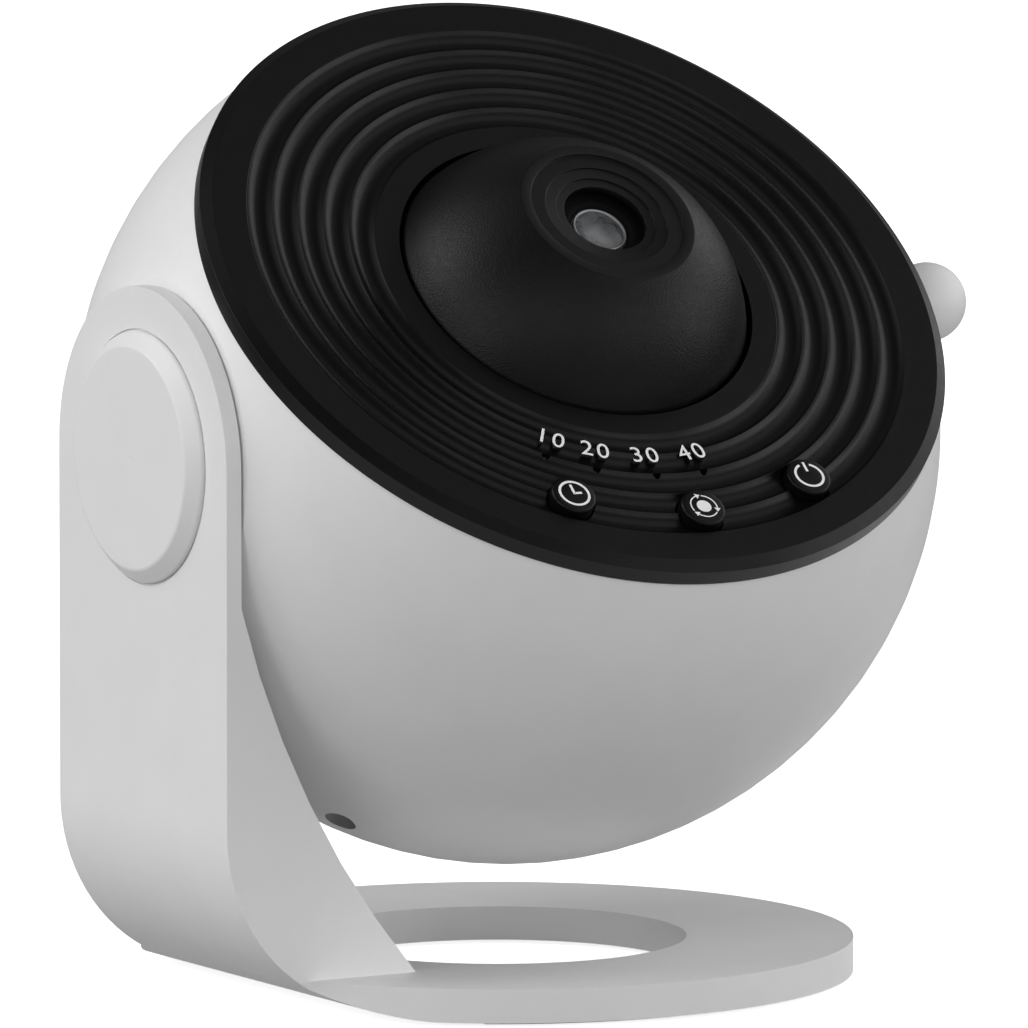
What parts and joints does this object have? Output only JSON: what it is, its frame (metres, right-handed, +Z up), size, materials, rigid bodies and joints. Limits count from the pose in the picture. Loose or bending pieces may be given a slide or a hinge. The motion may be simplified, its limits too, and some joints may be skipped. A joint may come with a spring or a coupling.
{
  "type": "planetarium projector",
  "caption": "Table-top star projector: a ball head with a rippled black face and domed lens that tilts on a one-armed stand with a ring base.",
  "frame": {"origin": "on the table, on the axis of the base ring", "axes": "+Z up; +X from the arm towards the focus dial; -Y the way the tilted face looks"},
  "size_m": [0.1356, 0.13, 0.1436],
  "materials": {
    "white_shell": "satin white moulded plastic",
    "black_face": "fine-grained black plastic",
    "black_dome": "fine-grained black plastic",
    "black_key": "smooth black keys",
    "inner_plastic": "dark grey structural plastic",
    "acetal": "natural white gear plastic",
    "foot_rubber": "soft black rubber",
    "steel": "zinc-plated steel",
    "spring_steel": "spring steel",
    "bronze": "sintered bronze",
    "sink_alloy": "black-anodised aluminium",
    "optic_glass": "coated glass",
    "clear_plastic": "clear acrylic",
    "board": "green circuit board",
    "white_board": "white metal-cored board",
    "component": "black component plastic",
    "lamp": "phosphor-coated lamp",
    "film": "black printed film",
    "ptfe": "low-friction washer"
  },
  "bodies": {
    "stand": {"stand_bracket": "white_shell", "foot_pad": "foot_rubber", "pivot_cap": "white_shell", "pivot_bolt": "steel", "friction_washer": "ptfe", "spring_washer": "spring_steel", "pivot_nut": "steel"},
    "head": {"rear_shell": "white_shell", "pivot_bush": "bronze", "face_plate": "black_face", "shell_screws": "steel", "control_board": "board", "control_board_screws": "steel", "tact_switches": "component", "indicator_lamps": "lamp", "light_pipes": "clear_plastic", "guide_screws": "steel", "driver_board": "board", "driver_board_screws": "steel", "usb_socket": "steel"},
    "timer_key": {"timer_button": "black_key"},
    "rotation_key": {"rotation_button": "black_key"},
    "power_key": {"power_button": "black_key"},
    "dome": {"lens_dome": "black_dome", "lens_barrel": "black_dome", "objective_lens": "optic_glass", "lens_spacer": "inner_plastic", "relay_lens": "optic_glass", "lens_retainer": "inner_plastic"},
    "dial": {"focus_dial": "white_shell", "ball_handle": "white_shell", "dial_clip": "spring_steel", "focus_pinion": "acetal"},
    "carriage": {"focus_carriage": "inner_plastic", "focus_rack": "acetal", "condenser_lens": "clear_plastic", "condenser_spacer": "inner_plastic", "led_board": "white_board", "projection_led": "lamp", "heat_sink": "sink_alloy", "engine_screws": "steel", "motor": "steel"},
    "film_stage": {"turntable": "acetal", "film_frame": "inner_plastic", "star_film": "film"},
    "drive": {"motor_shaft": "steel", "motor_pinion": "acetal"}
  },
  "joints": [
    {"name": "head_tilt", "type": "hinge", "parent": "stand", "child": "head", "pos_m": [0.0015, 0, 0.082], "axis": [1, 0, 0], "continuous": true},
    {"name": "timer_press", "type": "slide", "parent": "head", "child": "timer_key", "axis": [0, 0.6428, -0.766], "range_m": [0, 0.0005], "stiffness_N_per_m": 1500, "springref_m": -0.0003},
    {"name": "rotation_press", "type": "slide", "parent": "head", "child": "rotation_key", "axis": [0, 0.6428, -0.766], "range_m": [0, 0.0005], "stiffness_N_per_m": 1500, "springref_m": -0.0003},
    {"name": "power_press", "type": "slide", "parent": "head", "child": "power_key", "axis": [0, 0.6428, -0.766], "range_m": [0, 0.0005], "stiffness_N_per_m": 1500, "springref_m": -0.0003},
    {"name": "dome_lift", "type": "slide", "parent": "head", "child": "dome", "axis": [0, -0.6428, 0.766], "range_m": [0, 0.03]},
    {"name": "focus_slide", "type": "slide", "parent": "head", "child": "carriage", "axis": [0, -0.6428, 0.766], "range_m": [-0.0025, 0.0025]},
    {"name": "focus_turn", "type": "hinge", "parent": "head", "child": "dial", "pos_m": [0.0015, 0, 0.082], "axis": [1, 0, 0], "range_deg": [-30, 30]},
    {"name": "film_spin", "type": "hinge", "parent": "carriage", "child": "film_stage", "pos_m": [0.0015, 0, 0.082], "axis": [0, -0.6428, 0.766], "continuous": true},
    {"name": "drive_spin", "type": "hinge", "parent": "carriage", "child": "drive", "pos_m": [-0.0273, 0, 0.082], "axis": [0, -0.6428, 0.766], "continuous": true}
  ],
  "couplings": [
    {"joint": "focus_turn", "follows": "focus_slide", "rad_per_m": 208.33},
    {"joint": "drive_spin", "follows": "film_spin", "ratio": -5}
  ]
}
